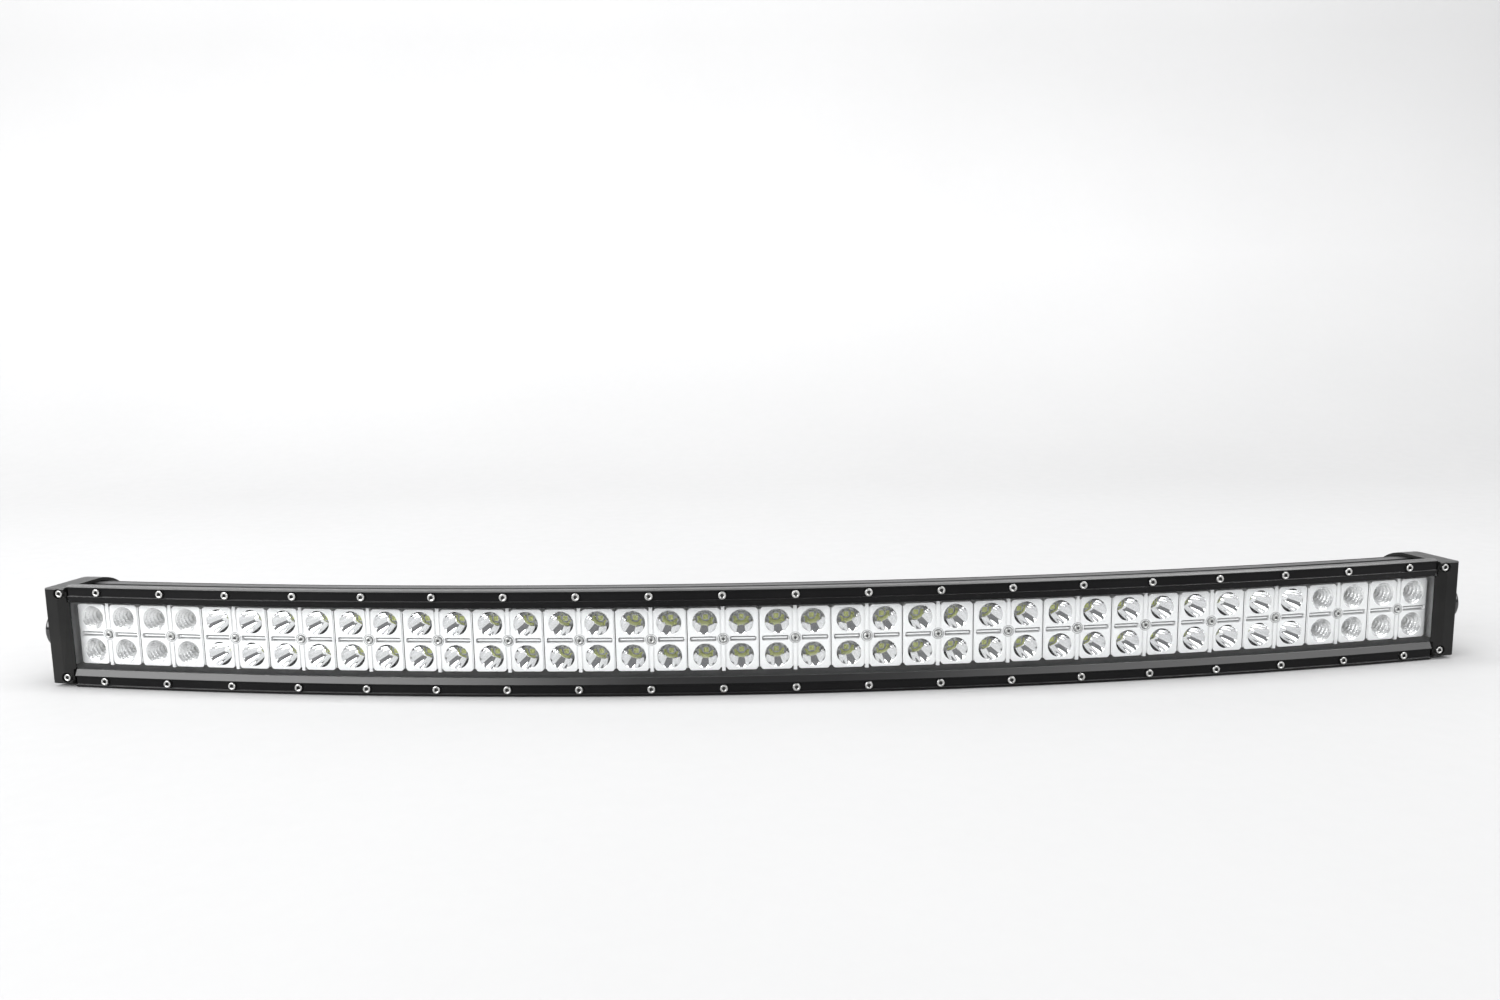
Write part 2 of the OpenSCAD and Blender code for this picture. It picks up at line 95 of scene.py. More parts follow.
def arc_frame(s):
    """Matrix whose x runs along the arc, y inwards and z up, from the front plane at mid height."""
    return Matrix.Translation(on_arc(s, 0, 0)) @ Matrix.Rotation(turn(s), 4, "Z")


def cluster_s(index):
    """Arc length of the middle of cluster 1 to 20."""
    return (index - (CLUSTERS + 1) / 2) * PITCH


CLUSTER_FRAMES = [arc_frame(cluster_s(index)) for index in range(1, CLUSTERS + 1)]


# ---- camera ----
SENSOR_WIDTH, FOCAL_LENGTH = 36, 28.04
CAMERA_X, CAMERA_AHEAD, CAMERA_ABOVE = -15.17 * MM, 790.4 * MM, 217.6 * MM
CAMERA_YAW, CAMERA_PITCH, CAMERA_ROLL = -0.732, 8.459, -0.941


def add_camera():
    """The camera stands ahead of the bar, a little above it, and looks slightly down."""
    camera = bpy.data.objects.new("camera", bpy.data.cameras.new("camera"))
    camera.data.sensor_width = SENSOR_WIDTH
    camera.data.lens = FOCAL_LENGTH
    yaw, pitch, roll = (math.radians(angle) for angle in (CAMERA_YAW, CAMERA_PITCH, CAMERA_ROLL))
    place = Vector((CAMERA_X, LOW[1] - CAMERA_AHEAD, MID_Z + CAMERA_ABOVE))
    aim = Matrix.Rotation(yaw, 4, "Z") @ Matrix.Rotation(math.pi / 2 - pitch, 4, "X")
    camera.matrix_world = Matrix.Translation(place) @ aim @ Matrix.Rotation(roll, 4, "Z")
    bpy.context.scene.collection.objects.link(camera)
    bpy.context.scene.camera = camera


# ---- node material helpers ----
def new_material(name):
    """An empty node material with a principled shader on its output."""
    material = bpy.data.materials.new(name)
    material.use_nodes = True
    tree = material.node_tree
    tree.nodes.clear()
    out = tree.nodes.new("ShaderNodeOutputMaterial")
    shader = tree.nodes.new("ShaderNodeBsdfPrincipled")
    tree.links.new(shader.outputs[0], out.inputs["Surface"])
    return material, tree, shader, out


def node(tree, kind, **settings):
    """Adds a node. A setting that starts with in_ is the value of an input."""
    made = tree.nodes.new(kind)
    for key, value in settings.items():
        if key.startswith("in_"):
            made.inputs[key[3:].replace("_", " ")].default_value = value
        else:
            setattr(made, key, value)
    return made


def noise(tree, scale, detail=4.0):
    """Noise fixed to the object."""
    coords = node(tree, "ShaderNodeTexCoord")
    made = node(tree, "ShaderNodeTexNoise", in_Scale=scale, in_Detail=detail, in_Roughness=0.55)
    tree.links.new(coords.outputs["Object"], made.inputs["Vector"])
    return made


def ramp(tree, source, low, high, low_at=0.3, high_at=0.7):
    """Colour that goes from low to high as the source goes from low_at to high_at."""
    made = node(tree, "ShaderNodeValToRGB")
    made.color_ramp.elements[0].position = low_at
    made.color_ramp.elements[1].position = high_at
    made.color_ramp.elements[0].color = (*low, 1)
    made.color_ramp.elements[1].color = (*high, 1)
    tree.links.new(source, made.inputs[0])
    return made


def grey(value):
    return (value,) * 3


def grained(name, low, high, rough=(0.4, 0.5), grain=900, bump=0.1, distance=0.0001, metallic=0.0,
            patch=18, specular=0.5, coat=0.0, painted_top_sheen=None):
    """Opaque material with patchy colour and a fine grain. Faces that look up can get a painted sheen."""
    material, tree, shader, _ = new_material(name)
    patches = noise(tree, patch)
    colour = ramp(tree, patches.outputs[0], low, high)
    tree.links.new(colour.outputs[0], shader.inputs["Base Color"])
    fine = noise(tree, grain, 3)
    roughness = ramp(tree, fine.outputs[0], grey(rough[0]), grey(rough[1]))
    tree.links.new(roughness.outputs[0], shader.inputs["Roughness"])
    shader.inputs["Metallic"].default_value = metallic
    shader.inputs["Specular IOR Level"].default_value = specular
    shader.inputs["Coat Weight"].default_value = coat
    # painted sheen: faces that look up get more specular than the rest, standing in for the light they
    # catch from above
    if painted_top_sheen:
        split = node(tree, "ShaderNodeSeparateXYZ")
        tree.links.new(node(tree, "ShaderNodeNewGeometry").outputs["Normal"], split.inputs[0])
        painted_sheen = ramp(tree, split.outputs["Z"], grey(specular), grey(painted_top_sheen), 0.35, 0.9)
        tree.links.new(painted_sheen.outputs[0], shader.inputs["Specular IOR Level"])
    if bump:
        bumped = node(tree, "ShaderNodeBump", in_Strength=bump, in_Distance=distance)
        tree.links.new(fine.outputs[0], bumped.inputs["Height"])
        tree.links.new(bumped.outputs[0], shader.inputs["Normal"])
    return material


def lens_material():
    """Clear polycarbonate that lets lamps through: a plate whose gloss grows towards grazing views."""
    material, tree, shader, out = new_material("clear_lens")
    tree.nodes.remove(shader)
    clear = node(tree, "ShaderNodeBsdfTransparent", in_Color=(0.985, 0.99, 0.99, 1))
    haze = ramp(tree, noise(tree, 60).outputs[0], grey(0.02), grey(0.05))
    gloss = node(tree, "ShaderNodeBsdfGlossy", in_Color=(1, 1, 1, 1))
    tree.links.new(haze.outputs[0], gloss.inputs["Roughness"])
    # a plate's gloss at angles between head on and grazing, by Schlick's formula
    head_on, falloff = 0.03, 5.0
    facing = node(tree, "ShaderNodeLayerWeight", in_Blend=0.5)
    power = node(tree, "ShaderNodeMath", operation="POWER")
    power.inputs[1].default_value = falloff
    tree.links.new(facing.outputs["Facing"], power.inputs[0])
    share = node(tree, "ShaderNodeMath", operation="MULTIPLY_ADD")
    share.inputs[1].default_value = 1 - head_on
    share.inputs[2].default_value = head_on
    tree.links.new(power.outputs[0], share.inputs[0])
    mixed = node(tree, "ShaderNodeMixShader")
    tree.links.new(share.outputs[0], mixed.inputs[0])
    tree.links.new(clear.outputs[0], mixed.inputs[1])
    tree.links.new(gloss.outputs[0], mixed.inputs[2])
    tree.links.new(mixed.outputs[0], out.inputs["Surface"])
    return material


# the housing, rail and cap blacks carry a painted sheen on their top faces
MATERIALS = {
    "housing_black": grained("housing_black", (0.012, 0.012, 0.0125), (0.02, 0.02, 0.021), (0.34, 0.46),
                             1400, 0.14, specular=0.4, painted_top_sheen=1.0),
    "rail_black": grained("rail_black", (0.003, 0.003, 0.0033), (0.006, 0.006, 0.0063), (0.28, 0.38),
                          1600, 0.08, specular=0.12, painted_top_sheen=1.6),
    "cast_cap_black": grained("cast_cap_black", (0.008, 0.008, 0.008), (0.015, 0.015, 0.0145), (0.4, 0.55),
                              1300, 0.5, specular=0.14, painted_top_sheen=0.9),
    "grey_silicone": grained("grey_silicone", grey(0.82), grey(0.88), (0.5, 0.6), 500, 0.1),
    "clear_lens": lens_material(),
    "black_gasket": grained("black_gasket", grey(0.02), grey(0.03), (0.55, 0.7), 700, 0.15),
    "stainless": grained("stainless", (0.48, 0.48, 0.47), (0.6, 0.6, 0.59), (0.22, 0.34), 2500, 0.08,
                         metallic=1.0),
    "led_phosphor": grained("led_phosphor", (0.50, 0.55, 0.12), (0.62, 0.67, 0.2), (0.2, 0.3), 2500, 0.02,
                            coat=1.0),
    "circuit_board": grained("circuit_board", (0.02, 0.12, 0.05), (0.03, 0.17, 0.07), (0.3, 0.45),
                             900, 0.1),
    "driver_parts": grained("driver_parts", (0.03, 0.03, 0.035), (0.06, 0.06, 0.07), (0.35, 0.5), 900, 0.1),
    "brass": grained("brass", (0.50, 0.35, 0.12), (0.60, 0.43, 0.17), (0.25, 0.35), 1500, 0.05,
                     metallic=1.0),
    "lead_insulation": grained("lead_insulation", (0.4, 0.03, 0.02), (0.5, 0.05, 0.03), (0.4, 0.5),
                               700, 0.05),
    "nylon_black": grained("nylon_black", grey(0.018), grey(0.03), (0.4, 0.55), 900, 0.15),
    "hub_gloss_black": grained("hub_gloss_black", (0.008, 0.008, 0.009), (0.012, 0.012, 0.013),
                               (0.1, 0.18), 1200, 0.03, coat=0.5),
    "bolt_black": grained("bolt_black", grey(0.02), (0.035, 0.035, 0.034), (0.3, 0.42), 1500, 0.08,
                          metallic=0.6),
    "reflector_bright": grained("reflector_bright", (0.77, 0.77, 0.775), grey(0.81), (0.3, 0.4), 700, 0.03,
                                metallic=0.1),
    "led_board_white": grained("led_board_white", (0.72, 0.73, 0.72), (0.8, 0.81, 0.8), (0.35, 0.45),
                               900, 0.05),
}
# looks for some faces of a piece whose slot has another material
SPOT_MIRROR = grained("spot_mirror", (0.92, 0.92, 0.925), grey(0.95), (0.02, 0.05), 900, 0.01, metallic=1.0)
FLOOD_MIRROR = grained("flood_mirror", (0.78, 0.78, 0.785), grey(0.82), (0.12, 0.18), 900, 0.01,
                       metallic=0.65)
# painted shade: a grey for the ring grooves and end steps of the white reflector, where shade falls
RECESS_PAINTED_SHADE = grained("reflector_recess_painted_shade", (0.16, 0.16, 0.165), grey(0.22), (0.4, 0.5), 900, 0.03)
CERAMIC = grained("led_ceramic", (0.55, 0.56, 0.55), (0.66, 0.67, 0.66), (0.3, 0.4), 2500, 0.05)
# painted shade: dark steel for the faces inside the screws' sockets, where shade falls
SOCKET_PAINTED_SHADE = grained("socket_painted_shade", grey(0.05), (0.09, 0.09, 0.088), (0.35, 0.5), 2500, 0.05,
                       metallic=1.0)


def dress_cad_nodes():
    """Gives every CAD node the material of its slot."""
    for part in frame["record"]["subparts"]:
        mesh = frame["nodes"][part["node"]].data
        mesh.materials.clear()
        mesh.materials.append(MATERIALS[part["material_slot"]])


# ---- mesh helpers ----
def add_piece(name, mesh, slot, body, replaces=(), materials=()):
    """Adds a piece with the slot's material, or with the given ones in their order."""
    piece = bpy.data.objects.new(name, mesh)
    bpy.context.scene.collection.objects.link(piece)
    for material in materials or [MATERIALS[slot]]:
        mesh.materials.append(material)
    weigh = piece.modifiers.new("weigh", "WEIGHTED_NORMAL")
    weigh.keep_sharp = True
    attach(piece, body)
    if replaces:
        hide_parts(*replaces)


def smooth(mesh, sharp):
    """Smooth shading, with corners over the angle kept sharp."""
    mesh.shade_smooth()
    mesh.set_sharp_from_angle(angle=math.radians(sharp))
    return mesh


def finished_mesh(name, build, sharp=32):
    """Turns a bmesh into a smooth-shaded mesh whose corners over the angle stay sharp."""
    bmesh.ops.recalc_face_normals(build, faces=build.faces)
    mesh = bpy.data.meshes.new(name)
    build.to_mesh(mesh)
    build.free()
    return smooth(mesh, sharp)


def worked(mesh, tools=(), bevel=0.0, operation="DIFFERENCE"):
    """A copy of the mesh after it is cut by each tool mesh and, last, its sharp edges are bevelled."""
    scene = bpy.context.scene
    work = bpy.data.objects.new("work", mesh)
    scene.collection.objects.link(work)
    helpers = []
    for tool in tools:
        helper = bpy.data.objects.new("tool", tool)
        scene.collection.objects.link(helper)
        helpers.append(helper)
        cut = work.modifiers.new("cut", "BOOLEAN")
        cut.operation, cut.object, cut.solver = operation, helper, "MANIFOLD"
    if bevel:
        edge = work.modifiers.new("edge", "BEVEL")
        edge.width, edge.segments = bevel, 2
        edge.limit_method, edge.angle_limit = "ANGLE", math.radians(38)
        edge.use_clamp_overlap = True
    scene.view_layers[0].update()
    graph = bpy.context.evaluated_depsgraph_get()
    made = bpy.data.meshes.new_from_object(work.evaluated_get(graph), depsgraph=graph)
    made.materials.clear()
    for thing in (work, *helpers):
        bpy.data.objects.remove(thing)
    return made


def rounded(points, radii, steps=4):
    """Rounds the corners of a closed outline: one radius per corner."""
    result = []
    count = len(points)
    for i, (corner, radius) in enumerate(zip(points, radii)):
        here = Vector(corner)
        to_last = Vector(points[i - 1]) - here
        to_next = Vector(points[(i + 1) % count]) - here
        if radius <= 0:
            result.append(here)
            continue
        half = to_last.angle(to_next) / 2
        cut = min(radius / math.tan(half), 0.45 * to_last.length, 0.45 * to_next.length)
        start = here + to_last.normalized() * cut
        end = here + to_next.normalized() * cut
        for k in range(steps + 1):
            t = k / steps
            result.append(start * (1 - t) ** 2 + here * 2 * t * (1 - t) + end * t ** 2)
    return result


def bridge(build, a, b):
    """Joins two rings of the same number of points with faces."""
    for i in range(len(a)):
        j = (i + 1) % len(a)
        build.faces.new((a[i], a[j], b[j], b[i]))


def swept(name, outline, s0, s1, step=6 * MM, sharp=40):
    """Sweeps a closed (d, z) outline along the arc, with flat ends."""
    build = bmesh.new()
    stops = max(2, int(abs(s1 - s0) / step))
    rings = []
    for k in range(stops + 1):
        s = s0 + (s1 - s0) * k / stops
        rings.append([build.verts.new(on_arc(s, d, z)) for d, z in outline])
    for a, b in zip(rings, rings[1:]):
        bridge(build, a, b)
    build.faces.new(rings[0])
    build.faces.new(rings[-1])
    return finished_mesh(name, build, sharp)


def off_middle(a):
    """Angle from the middle of the nearest of six equal sectors."""
    return (a + math.pi / 6) % (math.pi / 3) - math.pi / 6


def hexagon(across_flats):
    """Reach of a hexagon at an angle."""
    return lambda a: across_flats / 2 / math.cos(off_middle(a))


def smaller(shape_a, shape_b):
    """Reach of what two shapes have in common."""
    return lambda a: min(shape_a(a), shape_b(a))


def circle(radius):
    return lambda a: radius


def turned(build, place, rows, sides, loop=False):
    """Rings of (along, reach) rows about an axis, closed by end faces or, as a loop, by the first ring."""
    rings = []
    for along, reach in rows:
        reach_at = reach if callable(reach) else circle(reach)
        angles = [2 * math.pi * k / sides for k in range(sides)]
        rings.append([build.verts.new(place(along, reach_at(a) * math.cos(a), reach_at(a) * math.sin(a)))
                      for a in angles])
    for a, b in zip(rings, rings[1:]):
        bridge(build, a, b)
    if loop:
        bridge(build, rings[-1], rings[0])
    else:
        build.faces.new(rings[0])
        build.faces.new(rings[-1])


def profile(start, rows):
    """Rows for turned() from (along, reach) pairs in millimetres after a start. A reach can be a shape."""
    return [(start + along * MM, reach if callable(reach) else reach * MM) for along, reach in rows]


def inward(matrix, mid_x=0.0, mid_z=0.0):
    """Place function for an axis that runs in along a frame's y."""
    return lambda along, across, up: matrix @ Vector((mid_x + across, along, mid_z + up))


def add_prism(build, matrix, outline, d0, d1):
    """An (x, z) outline extruded from depth d0 to d1."""
    front, back = ([build.verts.new(matrix @ Vector((x, d, z))) for x, z in outline] for d in (d0, d1))
    bridge(build, front, back)
    build.faces.new(front)
    build.faces.new(back)


def add_box(build, matrix, x0, x1, d0, d1, z0, z1):
    add_prism(build, matrix, [(x0, z0), (x1, z0), (x1, z1), (x0, z1)], d0, d1)


# ---- housing ----
# section of the housing in millimetres
FIN_HALF, CORE_HALF, FIN_T, FIN_ROOT = 33.4, 29.4, 2.4, 3.6
BACK_WALL, FIN_MID, FIN_PITCH = 60.0, 36.2, 6.4
# length and depths of the cuts at the ends of the flange under each rail
FLANGE_CUT, FLANGE_CUT_D = 20 * MM, (3 * MM, 12 * MM)
# depth and thickness of each fin on the top and bottom
TOP_FINS = [(13.5, 3.6), (21, 3.6), (31, 7.5), (42.4, FIN_T), (48, FIN_T), (53.6, FIN_T)]


def envelope_z(d):
    """Height of the fin tips at depth d: flat at first, then round the back."""
    return FIN_HALF if d <= FIN_MID else math.sqrt(FIN_HALF ** 2 - (d - FIN_MID) ** 2)


def envelope_d(z):
    """Depth of the fin tips round the back at height z."""
    return FIN_MID + math.sqrt(FIN_HALF ** 2 - z ** 2)


def housing_outline():
    """Section of the housing in millimetres, with rounded fin tips and roots."""
    root = lambda d: min(CORE_HALF, envelope_z(d) - FIN_ROOT)
    web = WEB_FRONT / MM
    top = [(web, 0, 0), (web, 26, 0.5), (7.7, 26, 0.2), (7.7, 28.3, 0.1), (6, 28.3, 0.1), (6, 36.6, 0.4),
           (11, 36.6, 0.4), (11, CORE_HALF, 0.5)]
    for d, t in TOP_FINS:
        end = d + t
        top += [(d, root(d), 0.5), (d, envelope_z(d), 0.4)]
        top += [(end, envelope_z(end), 0.4), (end, root(end), 0.5)]
    top.append((BACK_WALL, root(BACK_WALL), 0.6))
    for z, rising in [(k * FIN_PITCH + half * FIN_T / 2, half > 0) for k in (2, 1) for half in (1, -1)]:
        foot, tip = (BACK_WALL, z, 0.5), (envelope_d(z), z, 0.4)
        top += [foot, tip] if rising else [tip, foot]
    top += [(BACK_WALL, FIN_T / 2, 0.5), (envelope_d(FIN_T / 2), FIN_T / 2, 0.4)]
    whole = top + [(d, -z, r) for d, z, r in reversed(top) if z]
    return rounded([Vector((d, z)) * MM for d, z, _ in whole], [r * MM for _, _, r in whole], 2)


def add_housing():
    """The finned housing, cut flat where the gland and the vent sit."""
    mesh = swept("housing_finish", housing_outline(), -HOUSING_HALF_S, HOUSING_HALF_S)
    build = bmesh.new()
    for s, radius in ((GLAND_S, GLAND_SEAT_R), (VENT_S, VENT_SEAT_R)):
        turned(build, inward(arc_frame(s)), [(BACK_SEAT, radius), (CLEAR_OF_BACK, radius)], 64)
    for side in (-1, 1):
        # the flange stops short of the end caps
        here = arc_frame(side * RAIL_HALF_S)
        x0, x1 = sorted((0, side * FLANGE_CUT))
        for z0, z1 in ((FIN_HALF * MM, CLEAR_OF_TOP), (-CLEAR_OF_TOP, -FIN_HALF * MM)):
            add_box(build, here, x0, x1, *FLANGE_CUT_D, z0, z1)
    tool = finished_mesh("housing_tool", build)
    add_piece("housing_finish", smooth(worked(mesh, [tool]), 40), "housing_black", "bar", ["housing"])


# ---- rails and lens ----
def rail_outline(side):
    """Section of a rail: a slope down to the lens, a channel for the screw heads and a lip beyond it."""
    half = (HIGH[2] - LOW[2]) / 2 / MM
    slope = [(2.9, 25.2, 0.3), (0.4, 29.6, 0.4)]
    channel = [(0.4, 30.4, 0.3), (1.8, 30.4, 0.25), (1.8, half - 2.2, 0.25), (0.4, half - 2.2, 0.3)]
    lip = [(0.4, half - 1.3, 0.5), (1.7, half, 0.6)]
    back = [(5.95, half, 0.5), (5.95, 28.4, 0), (3.45, 28.4, 0), (3.45, 25.2, 0.1)]
    corners = slope + channel + lip + back
    points = [Vector((d * MM, side * z * MM)) for d, z, _ in corners]
    return rounded(points, [r * MM for _, _, r in corners])


def add_rails():
    """The two rails, with a hole for each screw."""
    for side, name in ((1, "top_rail"), (-1, "bottom_rail")):
        mesh = swept(name + "_finish", rail_outline(side), -RAIL_HALF_S, RAIL_HALF_S)
        build = bmesh.new()
        for here in CLUSTER_FRAMES:
            turned(build, inward(here, 0, side * RAIL_SCREW_Z), profile(0, [(-1, 3), (3, 3)]), 32)
        holes = finished_mesh(name + "_tool", build)
        add_piece(name + "_finish", smooth(worked(mesh, [holes]), 40), "rail_black", "bar", [name])


def add_lens():
    """One clear curved sheet that runs into both end caps."""
    half, front, back = 28 * MM, 3.5 * MM, 6.5 * MM
    corners = [(front, -half), (front, half), (back, half), (back, -half)]
    outline = rounded([Vector(corner) for corner in corners], [0.2 * MM] * 4, 2)
    mesh = swept("lens_finish", outline, -HOUSING_HALF_S + 0.5 * MM, HOUSING_HALF_S - 0.5 * MM, 10 * MM, 50)
    add_piece("lens_finish", mesh, "clear_lens", "bar", ["lens"])


# ---- screws ----
SHANK_R = 1.5 * MM
# depth of the head's face, head height, head radius, socket size, and reach below the face
REFLECTOR_SCREW = (8.6 * MM, 1.4 * MM, 2.5 * MM, 2.1 * MM, 23.5 * MM)
CAP_SCREW = (0.6 * MM, 2 * MM, 2.75 * MM, 2.6 * MM, 10.4 * MM)
RAIL_SCREW = (0.02 * MM, 3 * MM, 2.75 * MM, 2.6 * MM, 9.5 * MM)


def add_screw(build, place, top, head_t, radius, socket, reach):
    """A socket head screw: a round head whose face is at depth top, a hexagonal socket and a shank."""
    rows = [(top + reach, SHANK_R), (top + head_t, SHANK_R), (top + head_t, radius)]
    # the rim and the face, as millimetres and shares of the radius
    for along, r in ((0.5, 1.0), (0.28, 0.985), (0.1, 0.93), (0.02, 0.86), (0.0, 0.78)):
        rows.append((top + along * MM, radius * r))
    rows += [(top + 0.06 * MM, socket * 0.66), (top + 0.28 * MM, hexagon(socket)),
             (top + head_t * 0.55, hexagon(socket)), (top + head_t * 0.62, socket * 0.2)]
    turned(build, place, rows, 48)


def mark_near(mesh, centres, radius):
    """Gives the second material to the faces near each centre."""
    tree = KDTree(len(centres))
    for i, centre in enumerate(centres):
        tree.insert(centre, i)
    tree.balance()
    for face in mesh.polygons:
        if tree.find(face.center)[2] < radius:
            face.material_index = 1


def add_screws():
    """Five sets of screws, each screw turned by a random angle."""
    sets = [("top_rail_screws", RAIL_SCREW, [(here, 0, RAIL_SCREW_Z) for here in CLUSTER_FRAMES]),
            ("bottom_rail_screws", RAIL_SCREW, [(here, 0, -RAIL_SCREW_Z) for here in CLUSTER_FRAMES]),
            ("reflector_screws", REFLECTOR_SCREW, [(here, 0, 0) for here in CLUSTER_FRAMES])]
    for side, name in ((-1, "left_cap_screws"), (1, "right_cap_screws")):
        here = arc_frame(side * CAP_START)
        places = [(here, side * CAP_SCREW_X, z) for z in (-CAP_SCREW_Z, CAP_SCREW_Z)]
        sets.append((name, CAP_SCREW, places))
    for name, shape, places in sets:
        top, head_t, _, socket, _ = shape
        build, sockets = bmesh.new(), []
        for matrix, x, z in places:
            spin = Matrix.Rotation(random.uniform(0, math.pi / 3), 4, "Y")
            add_screw(build, inward(matrix @ Matrix.Translation((x, 0, z)) @ spin), *shape)
            sockets.append(matrix @ Vector((x, top + head_t * 0.5, z)))
        mesh = finished_mesh(name + "_finish", build, 35)
        # the faces inside each socket take the painted shade
        mark_near(mesh, sockets, socket * 0.62)
        looks = [MATERIALS["stainless"], SOCKET_PAINTED_SHADE]
        add_piece(name + "_finish", mesh, "stainless", "bar", [name], looks)


# ---- reflectors ----
PAD_X, PAD_Z = 12.75 * MM, 12.15 * MM
PAD_FRONT, REFLECTOR_BACK = 10 * MM, WEB_FRONT - 2 * MM
CUP_RIM, CUP_FLOOR, CUP_BOTTOM_R = 8.75 * MM, WEB_FRONT - 2.1 * MM, 2.7 * MM
CUP_START, CUT_START = PAD_FRONT + 0.25 * MM, PAD_FRONT + 0.1 * MM
STEP_BACK, AHEAD = 10.7 * MM, 9 * MM
FLOOD_FACETS, FLOOD_SIDES, SPOT_SIDES = 24, 144, 96
# bounds of the ring grooves round the screw, and where the step at a block's ends begins
GROOVES_R, EDGE_STEP_X = (2.5 * MM, 4.2 * MM), 25.05 * MM
# outline and corners of a pad in millimetres
PAD_IN, PAD_OUT, PAD_TOP, PAD_CORNER, NOTCH_Z = 2.35, 24.2, 22.5, 2.0, 20.9


def reflector_outline():
    """Front outline of a reflector: a middle rib, two pads' round corners and the notches between them."""
    arc = []
    for mid_x, start, stop in ((PAD_IN + PAD_CORNER, 168, 90), (PAD_OUT - PAD_CORNER, 90, 12)):
        for k in range(7):
            a = math.radians(start + (stop - start) * k / 6)
            arc.append((mid_x + PAD_CORNER * math.cos(a), PAD_TOP - PAD_CORNER + PAD_CORNER * math.sin(a)))
    quarter = [(1.45, 23.3), (1.45, 22.9), (1.15, 22.3), (1.15, NOTCH_Z), (arc[0][0], NOTCH_Z)] + arc
    quarter += [(arc[-1][0], NOTCH_Z), (25.1, NOTCH_Z)]
    right = quarter + [(x, -z) for x, z in reversed(quarter)]
    whole = right + [(-x, -z) for x, z in right]
    return [(x * MM, z * MM) for x, z in whole]


def strip(side, x0, x1, half_z, radii):
    """Outline in the middle of one side's pads, from x0 to x1 millimetres, with rounded corners."""
    corners = [(x0, -half_z), (x1, -half_z), (x1, half_z), (x0, half_z)]
    return rounded([Vector((side * x * MM, z * MM)) for x, z in corners], [r * MM for r in radii])


def reflector_body():
    """The moulded block before its cups are cut: four pads, channels with a rib, and a collar."""
    build = bmesh.new()
    here = Matrix.Identity(4)
    add_prism(build, here, reflector_outline(), PAD_FRONT, REFLECTOR_BACK)
    block = finished_mesh("reflector_block", build)
    build, ribs = bmesh.new(), bmesh.new()
    for side in (-1, 1):
        add_prism(build, here, strip(side, 4.8, 23.4, 1.85, (0.5, 1.3, 1.3, 0.5)), AHEAD, 17.2 * MM)
        add_prism(ribs, here, strip(side, 5.6, 22.6, 0.55, (0.5,) * 4), 11.4 * MM, 18 * MM)
        x0, x1 = sorted((side * PAD_OUT * MM, side * 26 * MM))
        add_box(build, here, x0, x1, AHEAD, STEP_BACK, -24 * MM, 24 * MM)
        x0, x1 = sorted((side * 1.15 * MM, side * PAD_IN * MM))
        for z0, z1 in ((4.4 * MM, 24 * MM), (-24 * MM, -4.4 * MM)):
            add_box(build, here, x0, x1, AHEAD, STEP_BACK, z0, z1)
    # two ring grooves leave a collar round the screw head
    for inner, outer, floor in ((2.6, 3.15, 11.4), (3.8, 4.15, 10.9)):
        ring = [(9, inner), (9, outer), (floor, outer), (floor, inner)]
        turned(build, inward(here), profile(0, ring), 48, loop=True)
    tool = finished_mesh("reflector_tool", build)
    block = worked(block, [tool])
    return worked(block, [finished_mesh("reflector_ribs", ribs)], bevel=0.14 * MM, operation="UNION")


def spot_rows():
    """(depth, reach) down a smooth parabolic cup."""
    steps = 22
    rise = (CUP_RIM ** 2 - CUP_BOTTOM_R ** 2) / (CUP_FLOOR - CUP_START)
    rows = []
    for k in range(steps + 1):
        r = CUP_RIM + (CUP_BOTTOM_R - CUP_RIM) * k / steps
        rows.append((CUP_START + (CUP_RIM ** 2 - r ** 2) / rise, r))
    return rows


def faceted(radius, bulge):
    """Reach of a ring whose facets bulge inwards, least where two of them meet."""
    return lambda a: radius - bulge * (0.72 + 0.28 * abs(math.sin(a * FLOOD_FACETS / 2)))


def flood_rows():
    """(depth, reach) down a cup of stepped rings, each cut into small bulging facets."""
    rings, steps = 6, 5
    rows = []
    for ring in range(rings):
        for k in range(steps):
            u = (ring + k / steps) / rings
            r = CUP_RIM + (CUP_BOTTOM_R - CUP_RIM) * u
            depth = CUP_START + (CUP_FLOOR - CUP_START) * u ** 1.1
            rows.append((depth, faceted(r, 0.95 * MM * math.sin(math.pi * k / steps))))
    rows.append((CUP_FLOOR, CUP_BOTTOM_R))
    return rows


def with_cups(body, rows, sides):
    """The block with four cups cut through it. Cup faces take the second material, recesses a painted
    shade.
    """
    build = bmesh.new()
    lip_r = CUP_RIM + 0.25 * MM
    whole = [(AHEAD, lip_r), (PAD_FRONT + 0.02 * MM, lip_r)] + rows + [(WEB_FRONT, CUP_BOTTOM_R)]
    for x in (-PAD_X, PAD_X):
        for z in (-PAD_Z, PAD_Z):
            turned(build, inward(Matrix.Identity(4), x, z), whole, sides)
    mesh = worked(body, [finished_mesh("cup_tool", build)])
    for face in mesh.polygons:
        x, d, z = face.center
        in_cup = math.hypot(abs(x) - PAD_X, abs(z) - PAD_Z) < CUP_RIM
        # the grooves round the screw and the steps at the block's ends get the painted shade
        in_shaded_recess = GROOVES_R[0] < math.hypot(x, z) < GROOVES_R[1] or abs(x) > EDGE_STEP_X
        face.material_index = 0 if d <= CUT_START else 1 if in_cup else 2 if in_shaded_recess else 0
    return mesh


